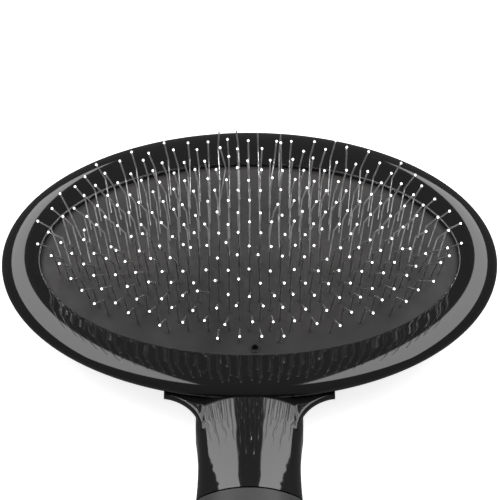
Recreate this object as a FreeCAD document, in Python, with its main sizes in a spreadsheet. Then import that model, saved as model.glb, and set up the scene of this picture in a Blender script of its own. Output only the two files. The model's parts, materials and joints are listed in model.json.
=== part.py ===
import FreeCAD, Part
import math
import os
import re

import Sketcher

# A pin brush with a wide oval head. A domed rubber cushion, stiffened by a fabric backing, carries
# rows of bent wire staples whose ends wear small balls. A face ring clamps the cushion's flange onto
# a seat ring over a closed air chamber, so the whole pin field can be pressed in and springs back.
#
# Frame, in millimetres: the origin is the centre of the head's flat back, +Z runs along the pins
# and the handle points towards -Y. The brush lies on its back on the plane z = 0.

SIZES = [
    # The head's outer form
    ("head_half_width", 50.0, "half the oval head, side to side"),
    ("head_half_length", 34.5, "half the oval head, along the handle"),
    ("head_thickness", 16.0, "flat back to the top of the face ring"),
    ("shoulder_width", 5.5, "rounded top edge of the rim, measured inwards"),
    ("shoulder_height", 2.6, "rounded top edge of the rim, measured down"),
    ("bead_radius", 2.2, "rounded under edge of the rim"),
    ("back_inset", 20.0, "widest line to the flat back, measured inwards"),
    ("back_fullness", 0.64, "how full the back's curve is, 0 straight to 1"),
    # The face ring
    ("rim_side", 8.0, "rim's width at the sides, widest line to the opening"),
    ("rim_end", 9.5, "rim's width at the two ends, widest line to the opening"),
    ("opening_shift", 0.8, "opening centre to head centre, towards the handle"),
    ("lip_thickness", 1.0, "ring material over the cushion's flange"),
    ("lip_edge_radius", 0.5, "rounded edge of the opening"),
    # The cushion, its flange and its seat
    ("pad_thickness", 1.4, "rubber thickness"),
    ("pad_rise", 3.6, "height of the dome over its foot"),
    ("pad_margin", 0.6, "gap between the lip's wall and the dome's foot"),
    ("flange_overlap", 3.0, "flange under the lip"),
    ("fit_gap", 0.05, "clearance of pieces that locate each other"),
    ("seat_thickness", 2.3, "seat ring"),
    ("seat_overhang", 0.5, "opening's edge to the seat ring's bore"),
    ("vent_radius", 0.75, "air hole in the rubber"),
    ("vent_lip", 0.45, "bead around the air hole"),
    ("vent_inset", 1.4, "air hole's centre to the dome's foot"),
    ("vent_offset", 1.1, "air hole's centre to the middle of the brush"),
    # The fabric backing and the air chamber
    ("backing_thickness", 0.8, "laminated fabric under the rubber"),
    ("backing_margin", 1.4, "dome's foot to the backing's edge"),
    ("chamber_floor", 2.4, "back wall under the chamber"),
    ("chamber_wall", 3.6, "wall beside the chamber, under the seat"),
    # Pins
    ("row_count", 19, "rows of pins, odd so that one is central"),
    ("row_end_gap", 0.6, "outermost rows inside the pin field's ends"),
    ("pin_pitch", 4.0, "pin to pin in a row"),
    ("field_margin", 2.4, "dome's foot to the outermost pins, at the sides"),
    ("field_end_margin", 4.0, "dome's foot to the outermost rows, were the field central"),
    ("field_shift", 1.6, "pin field's centre to the opening's centre, towards the handle"),
    ("wire_radius", 0.15, "pin wire"),
    ("lower_leg", 8.7, "rubber to knee"),
    ("upper_leg", 11.3, "knee to ball"),
    ("lower_lean", 1.0, "degrees, a central pin's lower leg towards the handle"),
    ("upper_lean", 33.0, "degrees, a central pin's upper leg towards the handle"),
    ("lower_fan", 1.5, "lower legs' fan along the handle, as a share of the dome's slope"),
    ("upper_fan", 0.85, "upper legs' fan along the handle, as a share of the dome's slope"),
    ("knee_radius", 1.2, "bend at the knee"),
    ("crown_radius", 0.5, "bend at the staple's crown"),
    ("ball_radius", 0.27, "ball on the pin's end"),
    # The neck and the handle
    ("axis_height", 6.8, "parting plane of the neck and the handle"),
    ("neck_half_width", 10.6, "neck beside the head"),
    ("neck_waist", 10.05, "neck at its waist"),
    ("neck_end_half_width", 10.5, "neck where the grip starts"),
    ("neck_rise", 6.8, "neck's top over the parting plane"),
    ("waist_rise", 6.5, "neck's top over the parting plane at its waist"),
    ("neck_clearance", 0.4, "neck's underside over the resting plane"),
    ("web_radius", 8.4, "webs in the corners between the neck and the rim, in plan"),
    ("web_reach", 6.5, "rim's end to where the webs end"),
    ("root_reach", 4.5, "rim's end to where the neck's straight root ends"),
    ("web_inset", 0.9, "webs' end inside the neck's side"),
    ("web_floor", 3.6, "webs' underside over the parting plane"),
    ("web_height", 1.6, "webs' height"),
    ("keel_depth", 20.5, "rim's end to where the neck's keel starts in the back, inwards"),
    ("root_depth", 8.5, "rim's end to where the neck's upper half starts, inwards"),
    ("waist_reach", 12.5, "rim's end to the neck's waist"),
    ("neck_length", 22.0, "rim's end to the grip's start"),
    ("grip_length", 65.5, "grip, from end to end"),
    ("grip_half_width", 13.4, "grip at its fullest"),
    ("grip_rise", 10.2, "grip's top over the parting plane"),
    ("grip_clearance", 0.2, "grip's underside over the resting plane"),
    ("grip_end_half_width", 12.2, "grip at its end"),
    ("grip_end_rise", 8.2, "grip's top at its end"),
    ("cap_length", 17.0, "grip's end to the handle's end"),
    ("tang_half_width", 8.6, "core under the grip"),
    ("tang_rise", 5.0, "core over and under the parting plane"),
    ("channel_half_width", 4.5, "hollow in the core"),
    ("channel_depth", 3.2, "hollow in each half of the core"),
    ("tenon_length", 9.0, "end cap's tenon in the core"),
    ("seam_groove", 0.35, "gap between the neck and the grip"),
    # Screws in the handle and the hanging hole
    ("screw_inset", 17.5, "grip's start to the first screw"),
    ("screw_spacing", 34.0, "screw to screw"),
    ("screw_radius", 1.15, "thread's outside"),
    ("screw_head_radius", 2.2, "screw head"),
    ("screw_head_height", 1.5, "screw head"),
    ("screw_recess", 0.3, "screw head below the core's surface"),
    ("screw_length", 7.0, "under the head"),
    ("screw_clearance", 0.15, "hole over the thread, in the lower half"),
    ("thread_bite", 0.12, "thread's bite in the upper half"),
    ("boss_length", 8.0, "solid stretch of the core at a screw"),
    ("hang_radius", 3.5, "hanging hole"),
    ("hang_inset", 9.5, "handle's end to the hanging hole's centre"),
]
ALIASES = {alias for alias, _, _ in SIZES}

# Sizes and places that follow from the ones above. Places are distances from the head's centre
# towards the handle.
WORKED_OUT = {
    "opening_half_width": "(head_half_width - rim_side)",
    "opening_half_length": "(head_half_length - rim_end)",
    "field_half_length": "(opening_half_length - pad_margin - field_end_margin)",
    "row_pitch": "(2 * (field_half_length - row_end_gap) / (row_count - 1))",
    "neck_drop": "(axis_height - neck_clearance)",
    "grip_drop": "(axis_height - grip_clearance)",
    "keel_start": "(head_half_length - keel_depth)",
    "neck_root": "(head_half_length - root_depth)",
    "root_end": "(head_half_length + root_reach)",
    "web_end": "(head_half_length + web_reach)",
    "waist_at": "(head_half_length + waist_reach)",
    "grip_start": "(head_half_length + neck_length)",
    "grip_end": "(grip_start + grip_length)",
    "handle_end": "(grip_end + cap_length)",
    "screw_first": "(grip_start + screw_inset)",
    "hang_at": "(handle_end - hang_inset)",
}

# Heights and half axes that several pieces share, as expressions of the sizes above.
WIDEST = "(head_thickness - shoulder_height)"
SEAM = "(head_thickness - shoulder_height - bead_radius * sin(45 deg))"
SEAM_INSET = "(bead_radius * (1 - cos(45 deg)))"
LIP_UNDERSIDE = "(head_thickness - lip_thickness)"
DOME_FOOT = "(head_thickness - lip_thickness - fit_gap)"
DOME_HALF_WIDTH = "(opening_half_width - pad_margin)"
DOME_HALF_LENGTH = "(opening_half_length - pad_margin)"
FLANGE_HALF_WIDTH = "(opening_half_width + flange_overlap)"
FLANGE_HALF_LENGTH = "(opening_half_length + flange_overlap)"
SEAT_TOP = "(head_thickness - lip_thickness - pad_thickness - 2 * fit_gap)"
SEAT_FLOOR = f"({SEAT_TOP} - seat_thickness)"

# Arches of the handle's sections: the straight side and the shoulder radius, as shares of the rise.
FLAT_ARCH = (0.35, 0.44)
WAIST_ARCH = (0.28, 0.51)
ROUND_ARCH = (0.12, 0.57)

# The corner webs' arcs in plan start this share of their radius before they end.
WEB_CUT = 0.99
WEB_STEPS = 6

# The end cap's rounding is a superellipse of this power, cut at this share of its length.
END_POWER = 2.6
END_CUT = 0.97

# A dome is the top of an ellipsoid, cut at this share of its height over its centre.
DOME_CUT = 0.8
DOME_SPREAD = math.sqrt(1 - DOME_CUT**2)

doc = FreeCAD.newDocument("pin_brush")
sheet = doc.addObject("Spreadsheet::Sheet", "Sizes")
nodes = []


def fill_sheet():
    """One row for each size: its name, its value under the alias and what it measures."""
    for row, (alias, amount, note) in enumerate(SIZES, start=1):
        sheet.set(f"A{row}", alias)
        sheet.set(f"B{row}", str(amount))
        sheet.setAlias(f"B{row}", alias)
        sheet.set(f"C{row}", note)
    doc.recompute()


def bound(text):
    """The expression with each size's name pointing into the sheet."""
    return re.sub(r"[a-z_]+", lambda word: spelled(word[0]), text)


def spelled(word):
    """A size's cell, or the expression that works out a size which follows from others."""
    if word in WORKED_OUT:
        return bound(WORKED_OUT[word])
    return "Sizes." + word if word in ALIASES else word


def bind(thing, path, text):
    thing.setExpression(path, bound(text))


def value(text):
    return float(sheet.evalExpression(bound(text)))


def publish(thing, name):
    """Names a finished sub-part, which also names its file."""
    thing.Label = name
    nodes.append((name, thing))
    return thing


# ---------------------------------------------------------------- sketches


def new_body(name):
    return doc.addObject("PartDesign::Body", name)


def sketch(body, name, plane="XY_Plane", lift="0", across="0", turn=0):
    """A sketch on one of the body's planes, lifted off it, moved across it and turned in it."""
    drawing = body.newObject("Sketcher::SketchObject", name)
    support = [f for f in body.Origin.OriginFeatures if f.Role == plane][0]
    drawing.AttachmentSupport = [(support, "")]
    drawing.MapMode = "FlatFace"
    spin = FreeCAD.Rotation(FreeCAD.Vector(0, 0, 1), turn)
    drawing.AttachmentOffset = FreeCAD.Placement(FreeCAD.Vector(), spin)
    bind(drawing, "AttachmentOffset.Base.z", lift)
    bind(drawing, "AttachmentOffset.Base.y", across)
    return drawing


def dimension(drawing, kind, *rest, text):
    """A dimension bound to an expression."""
    number = drawing.addConstraint(Sketcher.Constraint(kind, *rest, value(text)))
    bind(drawing, f"Constraints[{number}]", text)


def oval(drawing, half_x, half_y):
    """An ellipse round the sketch's origin, wider along the sketch's x."""
    centre = FreeCAD.Vector()
    ellipse = Part.Ellipse(centre, value(half_x), value(half_y))
    curve = drawing.addGeometry(ellipse, False)
    drawing.exposeInternalGeometry(curve)
    drawing.addConstraint(Sketcher.Constraint("Coincident", curve, 3, -1, 1))
    drawing.addConstraint(Sketcher.Constraint("Horizontal", curve + 1))
    dimension(drawing, "Distance", curve + 1, text=f"2 * ({half_x})")
    dimension(drawing, "Distance", curve + 2, text=f"2 * ({half_y})")


def rectangle(drawing, half_x, low_y, high_y):
    """A rectangle centred on x = 0 from low_y to high_y, both measured towards -y."""
    x, low, high = value(half_x), -value(low_y), -value(high_y)
    corners = [(-x, low), (x, low), (x, high), (-x, high)]
    points = [FreeCAD.Vector(px, py, 0) for px, py in corners]
    first = drawing.GeometryCount
    for a, b in zip(points, points[1:] + points[:1]):
        drawing.addGeometry(Part.LineSegment(a, b), False)
    for i in range(4):
        ends = (first + i, 2, first + (i + 1) % 4, 1)
        drawing.addConstraint(Sketcher.Constraint("Coincident", *ends))
    drawing.addConstraint(Sketcher.Constraint("Horizontal", first + 2))
    for side in (first + 1, first + 3):
        drawing.addConstraint(Sketcher.Constraint("Vertical", side))
    drawing.addConstraint(Sketcher.Constraint("Symmetric", first, 1, first, 2, -2))
    dimension(drawing, "DistanceX", first, 1, first, 2, text=f"2 * ({half_x})")
    dimension(drawing, "DistanceY", first, 1, -1, 1, text=low_y)
    dimension(drawing, "DistanceY", first + 2, 1, -1, 1, text=high_y)


def circle(drawing, radius, down_y):
    """A circle on the sketch's y axis, down_y towards -y."""
    centre = FreeCAD.Vector(0, -value(down_y), 0)
    ring = drawing.addGeometry(Part.Circle(centre, FreeCAD.Vector(0, 0, 1), value(radius)), False)
    drawing.addConstraint(Sketcher.Constraint("PointOnObject", ring, 3, -2))
    dimension(drawing, "Radius", ring, text=radius)
    dimension(drawing, "DistanceY", ring, 3, -1, 1, text=down_y)


def arch_texts(half_width, rise, side, shoulder):
    """An arch's crown and shoulder radii as expressions, the crown's worked out to fit the rest."""
    straight, small = f"({side} * ({rise}))", f"({shoulder} * ({rise}))"
    reach, lift = f"(({half_width}) - {small})", f"(({rise}) - {straight})"
    return f"({reach} ^ 2 + {lift} ^ 2 - {small} ^ 2) / (2 * ({lift} - {small}))", small


def arch_lines(half_width, rise, side, shoulder):
    """An arch's numbers: half width, crown and shoulder radii, crown centre, side and lean."""
    big, small = (value(text) for text in arch_texts(half_width, rise, side, shoulder))
    wide, top = value(half_width), value(rise)
    straight = side * top
    return wide, big, small, top - big, straight, math.atan2(straight - top + big, wide - small)


def add_line(drawing, x0, y0, x1, y1):
    ends = FreeCAD.Vector(x0, y0, 0), FreeCAD.Vector(x1, y1, 0)
    drawing.addGeometry(Part.LineSegment(*ends), False)


def add_arc(drawing, x, y, radius, start, end):
    ring = Part.Circle(FreeCAD.Vector(x, y, 0), FreeCAD.Vector(0, 0, 1), radius)
    drawing.addGeometry(Part.ArcOfCircle(ring, start, end), False)


def join(drawing, kind, pairs):
    """Joins the end of one piece to the start of the next, meeting or tangent."""
    for before, after in pairs:
        drawing.addConstraint(Sketcher.Constraint(kind, before, 2, after, 1))


def arch(drawing, half_width, rise, side, shoulder):
    """Half a handle's section: a flat base on y = 0, short sides, two shoulder arcs and a crown."""
    w, big, small, low, top, lean = arch_lines(half_width, rise, side, shoulder)
    add_line(drawing, -w, 0, w, 0)
    add_line(drawing, w, 0, w, top)
    add_arc(drawing, w - small, top, small, 0, lean)
    add_arc(drawing, 0, low, big, lean, math.pi - lean)
    add_arc(drawing, small - w, top, small, math.pi - lean, math.pi)
    add_line(drawing, -w, top, -w, 0)
    join(drawing, "Coincident", ((0, 1), (5, 0)))
    join(drawing, "Tangent", ((1, 2), (2, 3), (3, 4), (4, 5)))
    add = drawing.addConstraint
    add(Sketcher.Constraint("Symmetric", 0, 1, 0, 2, -1, 1))
    add(Sketcher.Constraint("Horizontal", 0))
    add(Sketcher.Constraint("Vertical", 1))
    add(Sketcher.Constraint("PointOnObject", 3, 3, -2))
    add(Sketcher.Constraint("Equal", 2, 4))
    crown, round_side = arch_texts(half_width, rise, side, shoulder)
    dimension(drawing, "DistanceX", 0, 1, 0, 2, text=f"2 * ({half_width})")
    dimension(drawing, "Radius", 3, text=crown)
    dimension(drawing, "Radius", 2, text=round_side)
    dimension(drawing, "DistanceY", 3, 3, -1, 1, text=f"{crown} - ({rise})")


def whole_section(drawing, half_width, rise, drop, side, shoulder):
    """A handle's whole section: straight sides between an upper and a lower arch."""
    w, big, small, low, top, lean = arch_lines(half_width, rise, side, shoulder)
    _, deep, tight, high, floor, tilt = arch_lines(half_width, drop, side, shoulder)
    turn = math.pi
    add_line(drawing, w, -floor, w, top)
    add_arc(drawing, w - small, top, small, 0, lean)
    add_arc(drawing, 0, low, big, lean, turn - lean)
    add_arc(drawing, small - w, top, small, turn - lean, turn)
    add_line(drawing, -w, top, -w, -floor)
    add_arc(drawing, tight - w, -floor, tight, turn, turn + tilt)
    add_arc(drawing, 0, -high, deep, turn + tilt, 2 * turn - tilt)
    add_arc(drawing, w - tight, -floor, tight, -tilt, 0)
    join(drawing, "Tangent", [(i, (i + 1) % 8) for i in range(8)])
    for line in (0, 4):
        drawing.addConstraint(Sketcher.Constraint("Vertical", line))
    for arc, twin, crown_arc, height in ((1, 3, 2, rise), (5, 7, 6, drop)):
        crown, round_side = arch_texts(half_width, height, side, shoulder)
        drawing.addConstraint(Sketcher.Constraint("Equal", arc, twin))
        drawing.addConstraint(Sketcher.Constraint("PointOnObject", crown_arc, 3, -2))
        dimension(drawing, "Radius", crown_arc, text=crown)
        dimension(drawing, "Radius", arc, text=round_side)
        ends = (crown_arc, 3, -1, 1) if height == rise else (-1, 1, crown_arc, 3)
        dimension(drawing, "DistanceY", *ends, text=f"{crown} - ({height})")
    dimension(drawing, "DistanceX", -1, 1, 0, 1, text=half_width)
    dimension(drawing, "DistanceX", 4, 1, -1, 1, text=half_width)


# ---------------------------------------------------------------- features


def loft(body, name, sections, kind="PartDesign::AdditiveLoft"):
    skin = body.newObject(kind, name)
    skin.Profile = sections[0]
    skin.Sections = sections[1:]
    skin.Ruled = False
    doc.recompute()
    return skin


def extrude(body, name, drawing, length, kind="PartDesign::Pad", reverse=False, through=False):
    """A Pad or a Pocket. A Pocket has to take material away, or its side is wrong."""
    before = body.Shape.Volume if kind.endswith("Pocket") else None
    feature = body.newObject(kind, name)
    feature.Profile = drawing
    feature.Reversed = reverse
    if through:
        feature.Type = 1
    else:
        bind(feature, "Length", length)
    doc.recompute()
    if before is not None and body.Shape.Volume >= before:
        raise RuntimeError(f"{name} removes nothing")
    return feature


def half_loft(body, name, stations, upper, base="axis_height"):
    """The upper or the lower half of a stretch of handle, through arches set across it."""
    sections = []
    for number, (distance, *form) in enumerate(stations):
        turn = 0 if upper else 180
        drawing = sketch(body, f"{name}_{number}", "XZ_Plane", distance, base, turn)
        arch(drawing, *form)
        sections.append(drawing)
    return loft(body, name, sections)


def whole_loft(body, name, stations):
    """A stretch of handle with its upper and lower halves in one, through sections across it."""
    sections = []
    for number, (distance, *form) in enumerate(stations):
        drawing = sketch(body, f"{name}_{number}", "XZ_Plane", distance, "axis_height")
        whole_section(drawing, *form)
        sections.append(drawing)
    return loft(body, name, sections)


# ---------------------------------------------------------------- the head's outer form


def rim_form(body, name):
    """The rim's outside, through ovals from the seam round the widest line to the flat top."""
    profile = []
    for angle in (45, 22):
        inset = f"bead_radius * (1 - cos({angle} deg))"
        profile.append((inset, f"{WIDEST} - bead_radius * sin({angle} deg)"))
    for angle in (0, 25, 50, 72, 90):
        inset = f"shoulder_width * (1 - cos({angle} deg))"
        profile.append((inset, f"{WIDEST} + shoulder_height * sin({angle} deg)"))
    return oval_loft(body, name, profile)


def back_form(body, name):
    """The back's outside, a shallow curve from the seam down to the flat oval it rests on."""
    profile = []
    for share in (0, 0.2, 0.45, 0.72, 1):
        inset = f"{SEAM_INSET} + {share} * (back_inset - {SEAM_INSET})"
        height = f"{SEAM} * (1 - {share}) * (1 - {share} * back_fullness)"
        profile.append((inset, height))
    return oval_loft(body, name, profile)


def oval_loft(body, name, profile):
    sections = []
    for number, (inset, height) in enumerate(profile):
        drawing = sketch(body, f"{name}_{number}", lift=height)
        oval(drawing, f"head_half_width - ({inset})", f"head_half_length - ({inset})")
        sections.append(drawing)
    return loft(body, name, sections)


def neck(body, rise, waist_rise, root_at, upper):
    """Half the neck: a straight root inside the head, a waist and a slight flare at the grip."""
    root, edge = (
        (distance, "neck_half_width", rise, *FLAT_ARCH) for distance in (root_at, "root_end")
    )
    waist = ("waist_at", "neck_waist", waist_rise, *WAIST_ARCH)
    end = ("grip_start", "neck_end_half_width", rise, *ROUND_ARCH)
    half_loft(body, "neck_root", [root, edge], upper)
    half_loft(body, "neck", [edge, waist, end], upper)


def corner_webs(body):
    """Thin webs that round off the corners between the neck's shoulders and the rim, in plan."""
    stations = []
    for step in range(WEB_STEPS, -1, -1):
        sine = WEB_CUT * step / WEB_STEPS
        spread = f"web_radius * {1 - math.sqrt(1 - sine**2):.4f}"
        half_width = f"neck_half_width - web_inset + {spread}"
        distance = f"web_end - web_radius * {sine:.4f}"
        stations.append((distance, half_width, "web_height", *FLAT_ARCH))
    root = ("neck_root", *stations[0][1:])
    half_loft(body, "web_root", [root, stations[0]], True, base="axis_height + web_floor")
    half_loft(body, "web", stations, True, base="axis_height + web_floor")


# ---------------------------------------------------------------- hard pieces of the head


def face_ring():
    """The glossy rim: it locates the seat ring and clamps the cushion's flange under its lip."""
    body = new_body("face_ring_body")
    rim_form(body, "rim")
    opening = sketch(body, "opening", lift="head_thickness", across="-opening_shift")
    oval(opening, "opening_half_width", "opening_half_length")
    extrude(body, "opening_cut", opening, None, "PartDesign::Pocket", through=True)
    recess = sketch(body, "recess", lift=SEAM, across="-opening_shift")
    oval(recess, f"{FLANGE_HALF_WIDTH} + fit_gap", f"{FLANGE_HALF_LENGTH} + fit_gap")
    depth = f"{LIP_UNDERSIDE} - {SEAM}"
    extrude(body, "recess_cut", recess, depth, "PartDesign::Pocket", reverse=True)
    ring = body.Tip
    lip = oval_edge(ring.Shape, value("opening_half_width"), value("head_thickness"))
    rounding = body.newObject("PartDesign::Fillet", "lip_edge")
    rounding.Base = (ring, [lip])
    bind(rounding, "Radius", "lip_edge_radius")
    doc.recompute()
    return publish(body, "face_ring")


def oval_edge(shape, half_width, height):
    """The name of the elliptical edge of that size at that height."""
    for number, edge in enumerate(shape.Edges, start=1):
        level = abs(edge.BoundBox.ZMax - height) < 1e-3
        if level and abs(getattr(edge.Curve, "MajorRadius", 0) - half_width) < 1e-3:
            return f"Edge{number}"
    raise RuntimeError(f"no oval edge of half width {half_width}")


def seat_ring():
    """The plain oval ring that backs the cushion's flange."""
    body = new_body("seat_ring_body")
    outline = sketch(body, "seat", lift=SEAT_FLOOR, across="-opening_shift")
    oval(outline, FLANGE_HALF_WIDTH, FLANGE_HALF_LENGTH)
    oval(outline, "opening_half_width - seat_overhang", "opening_half_length - seat_overhang")
    extrude(body, "seat_plate", outline, "seat_thickness")
    return publish(body, "seat_ring")


def back_shell():
    """The head's back with the air chamber, and the lower half of the neck and of the tang."""
    body = new_body("back_shell_body")
    back_form(body, "back")
    neck(body, "neck_drop", "neck_drop", "keel_start", upper=False)
    tang(body, upper=False)
    rebate = sketch(body, "rebate", lift=SEAT_FLOOR, across="-opening_shift")
    oval(rebate, f"{FLANGE_HALF_WIDTH} + fit_gap", f"{FLANGE_HALF_LENGTH} + fit_gap")
    extrude(body, "rebate_cut", rebate, "10", "PartDesign::Pocket", reverse=True)
    chamber(body)
    channel(body, upper=False)
    screw_holes(body)
    return publish(body, "back_shell")


def chamber(body):
    """The air chamber: ovals that follow the back's curve, one wall inside it."""
    sections = []
    for number, share in enumerate((0, 0.5, 1)):
        height = f"{SEAT_FLOOR} - {share} * ({SEAT_FLOOR} - chamber_floor)"
        shrink = f"seat_overhang + {share**2} * (back_inset - chamber_wall)"
        drawing = sketch(body, f"chamber_{number}", lift=height, across="-opening_shift")
        oval(drawing, f"opening_half_width - ({shrink})", f"opening_half_length - ({shrink})")
        sections.append(drawing)
    loft(body, "chamber_cut", sections, "PartDesign::SubtractiveLoft")


def tang(body, upper):
    """Half of the core that the grip slides over."""
    name = "upper_tang" if upper else "lower_tang"
    turn = 0 if upper else 180
    drawing = sketch(body, name, "XZ_Plane", "grip_start", "axis_height", turn)
    arch(drawing, "tang_half_width", "tang_rise", *ROUND_ARCH)
    extrude(body, name + "_length", drawing, "grip_end - grip_start")


def channel(body, upper):
    """The hollow of one half of the core, left solid round each screw and open at the end."""
    floor = sketch(body, "channel", lift="axis_height")
    first, second = "screw_first", "(screw_first + screw_spacing)"
    runs = [
        ("root_end", f"{first} - boss_length / 2"),
        (f"{first} + boss_length / 2", f"{second} - boss_length / 2"),
        (f"{second} + boss_length / 2", "grip_end"),
    ]
    for start, end in runs:
        rectangle(floor, "channel_half_width", start, end)
    extrude(body, "channel_cut", floor, "channel_depth", "PartDesign::Pocket", reverse=upper)


def screw_holes(body):
    """Clearance holes and head seats in the lower half."""
    seat_depth = "screw_recess + screw_head_height + axis_height - tang_rise"
    shank = sketch(body, "shank_holes")
    heads = sketch(body, "head_seats")
    for place in ("screw_first", "screw_first + screw_spacing"):
        circle(shank, "screw_radius + screw_clearance", place)
        circle(heads, "screw_head_radius + screw_clearance", place)
    extrude(body, "shank_cut", shank, "axis_height", "PartDesign::Pocket", reverse=True)
    extrude(body, "head_cut", heads, seat_depth, "PartDesign::Pocket", reverse=True)


def handle_top():
    """The upper half of the neck and the tang, trimmed to the head's outer form."""
    body = new_body("handle_top_body")
    neck(body, "neck_rise", "waist_rise", "neck_root", upper=True)
    corner_webs(body)
    tang(body, upper=True)
    channel(body, upper=True)
    pilot = sketch(body, "pilot_holes", lift="axis_height")
    for place in ("screw_first", "screw_first + screw_spacing"):
        circle(pilot, "screw_radius - thread_bite", place)
    extrude(body, "pilot_cut", pilot, "tang_rise - 1", "PartDesign::Pocket", reverse=True)
    blank = new_body("head_blank")
    rim_form(blank, "blank_rim")
    back_form(blank, "blank_back")
    trimmed = doc.addObject("Part::Cut", "handle_top_trimmed")
    trimmed.Base = body
    trimmed.Tool = blank
    return publish(trimmed, "handle_top")


# ---------------------------------------------------------------- the handle's other pieces


def grip_sleeve():
    """The soft grip, flush with the neck where it starts and fullest behind its middle."""
    start = "grip_start + seam_groove"
    swell = "grip_start + 0.3 * (grip_end - grip_start)"
    belly = "grip_start + 0.6 * (grip_end - grip_start)"
    between = "(neck_end_half_width + grip_half_width) / 2 + 0.5"
    half_way = "(neck_rise + grip_rise) / 2 + 0.4"
    stations = [
        (start, "neck_end_half_width", "neck_rise", "neck_drop", *ROUND_ARCH),
        (swell, between, half_way, "grip_drop", *ROUND_ARCH),
        (belly, "grip_half_width", "grip_rise", "grip_drop", *ROUND_ARCH),
        ("grip_end", "grip_end_half_width", "grip_end_rise", "neck_drop", *ROUND_ARCH),
    ]
    body = new_body("grip_sleeve_body")
    whole_loft(body, "grip", stations)
    bore(body)
    return publish(body, "grip_sleeve")


def bore(body):
    """The grip's bore, one fit gap larger than the tang."""
    for name, turn in (("upper_bore", 0), ("lower_bore", 180)):
        drawing = sketch(body, name, "XZ_Plane", "grip_start", "axis_height", turn)
        arch(drawing, "tang_half_width + fit_gap", "tang_rise + fit_gap", *ROUND_ARCH)
        length = "grip_end - grip_start + 1"
        extrude(body, name + "_cut", drawing, length, "PartDesign::Pocket", reverse=True)


def end_cap():
    """The rounded end with the hanging hole, held by a tenon in the tang's hollow."""
    body = new_body("end_cap_body")
    reach = "(handle_end - grip_end - fit_gap)"
    stations = []
    for share in (0, 0.35, 0.62, 0.82, 0.94, 1):
        taper = (1 - (share * END_CUT) ** END_POWER) ** (1 / END_POWER)
        sizes = ("grip_end_half_width", "grip_end_rise", "neck_drop")
        tapered = [f"{size} * {taper:.4f}" for size in sizes]
        distance = f"grip_end + fit_gap + {share} * {reach}"
        stations.append((distance, *tapered, *ROUND_ARCH))
    whole_loft(body, "end", stations)
    tenon = sketch(body, "tenon", "XZ_Plane", "grip_end - tenon_length", "axis_height")
    deep = "channel_depth - fit_gap"
    rectangle_about(tenon, "channel_half_width - fit_gap", deep)
    extrude(body, "tenon_length_pad", tenon, "tenon_length + 1")
    hole = sketch(body, "hanging_hole")
    circle(hole, "hang_radius", "hang_at")
    extrude(body, "hanging_cut", hole, "3 * head_thickness", "PartDesign::Pocket", reverse=True)
    return publish(body, "end_cap")


def rectangle_about(drawing, half_x, half_y):
    """A rectangle centred on the sketch's origin."""
    x, y = value(half_x), value(half_y)
    corners = [(-x, -y), (x, -y), (x, y), (-x, y)]
    points = [FreeCAD.Vector(px, py, 0) for px, py in corners]
    for a, b in zip(points, points[1:] + points[:1]):
        drawing.addGeometry(Part.LineSegment(a, b), False)
    for i in range(4):
        drawing.addConstraint(Sketcher.Constraint("Coincident", i, 2, (i + 1) % 4, 1))
    for side in (0, 2):
        drawing.addConstraint(Sketcher.Constraint("Horizontal", side))
        drawing.addConstraint(Sketcher.Constraint("Vertical", side + 1))
    drawing.addConstraint(Sketcher.Constraint("Symmetric", 0, 1, 1, 2, -1, 1))
    dimension(drawing, "DistanceX", 0, 1, 0, 2, text=f"2 * ({half_x})")
    dimension(drawing, "DistanceY", 1, 1, 1, 2, text=f"2 * ({half_y})")


def handle_screws():
    """Two pan-head screws that hold the handle's halves together under the grip."""
    places = ("screw_first", "screw_first + screw_spacing")
    pair = doc.addObject("Part::Compound", "screw_pair")
    pair.Links = [slotted_screw(number, place) for number, place in enumerate(places)]
    return publish(pair, "handle_screws")


def slotted_screw(number, place):
    """A screw whose head is recessed in the lower half and faces down."""
    base = "axis_height - tang_rise + screw_recess"
    head = doc.addObject("Part::Cylinder", f"screw_head_{number}")
    bind(head, "Radius", "screw_head_radius")
    bind(head, "Height", "screw_head_height")
    shank = doc.addObject("Part::Cylinder", f"screw_shank_{number}")
    bind(shank, "Radius", "screw_radius")
    bind(shank, "Height", "screw_length")
    slot = doc.addObject("Part::Box", f"screw_slot_{number}")
    bind(slot, "Length", "2 * screw_head_radius")
    bind(slot, "Width", "0.4 * screw_head_height")
    bind(slot, "Height", "0.5 * screw_head_height")
    bind(slot, "Placement.Base.x", "-screw_head_radius")
    for piece, lift, back in ((head, "0", "0"), (shank, "screw_head_height", "0"),
                              (slot, "0", "0.2 * screw_head_height")):
        bind(piece, "Placement.Base.y", f"-({place}) - {back}")
        bind(piece, "Placement.Base.z", f"{base} + {lift}")
    whole = combine("Part::Fuse", f"screw_blank_{number}", head, shank)
    return combine("Part::Cut", f"screw_{number}", whole, slot)


# ---------------------------------------------------------------- the cushion


def dome(name, drop):
    """A whole ellipsoid whose top is the cushion's dome, lowered by drop."""
    egg = doc.addObject("Part::Ellipsoid", name)
    bind(egg, "Radius1", f"pad_rise / {1 - DOME_CUT:.4f}")
    bind(egg, "Radius2", f"{DOME_HALF_WIDTH} / {DOME_SPREAD:.6f}")
    bind(egg, "Radius3", f"{DOME_HALF_LENGTH} / {DOME_SPREAD:.6f}")
    centre = f"{DOME_FOOT} + pad_rise - pad_rise / {1 - DOME_CUT:.4f} - ({drop})"
    bind(egg, "Placement.Base.z", centre)
    bind(egg, "Placement.Base.y", "-opening_shift")
    return egg


def oval_plate(name, half_width, half_length, floor, thickness):
    outline = doc.addObject("Part::Ellipse", name + "_outline")
    bind(outline, "MajorRadius", half_width)
    bind(outline, "MinorRadius", half_length)
    bind(outline, "Placement.Base.z", floor)
    bind(outline, "Placement.Base.y", "-opening_shift")
    plate = doc.addObject("Part::Extrusion", name)
    plate.Base = outline
    plate.DirMode = "Normal"
    plate.Solid = True
    bind(plate, "LengthFwd", thickness)
    return plate


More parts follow.
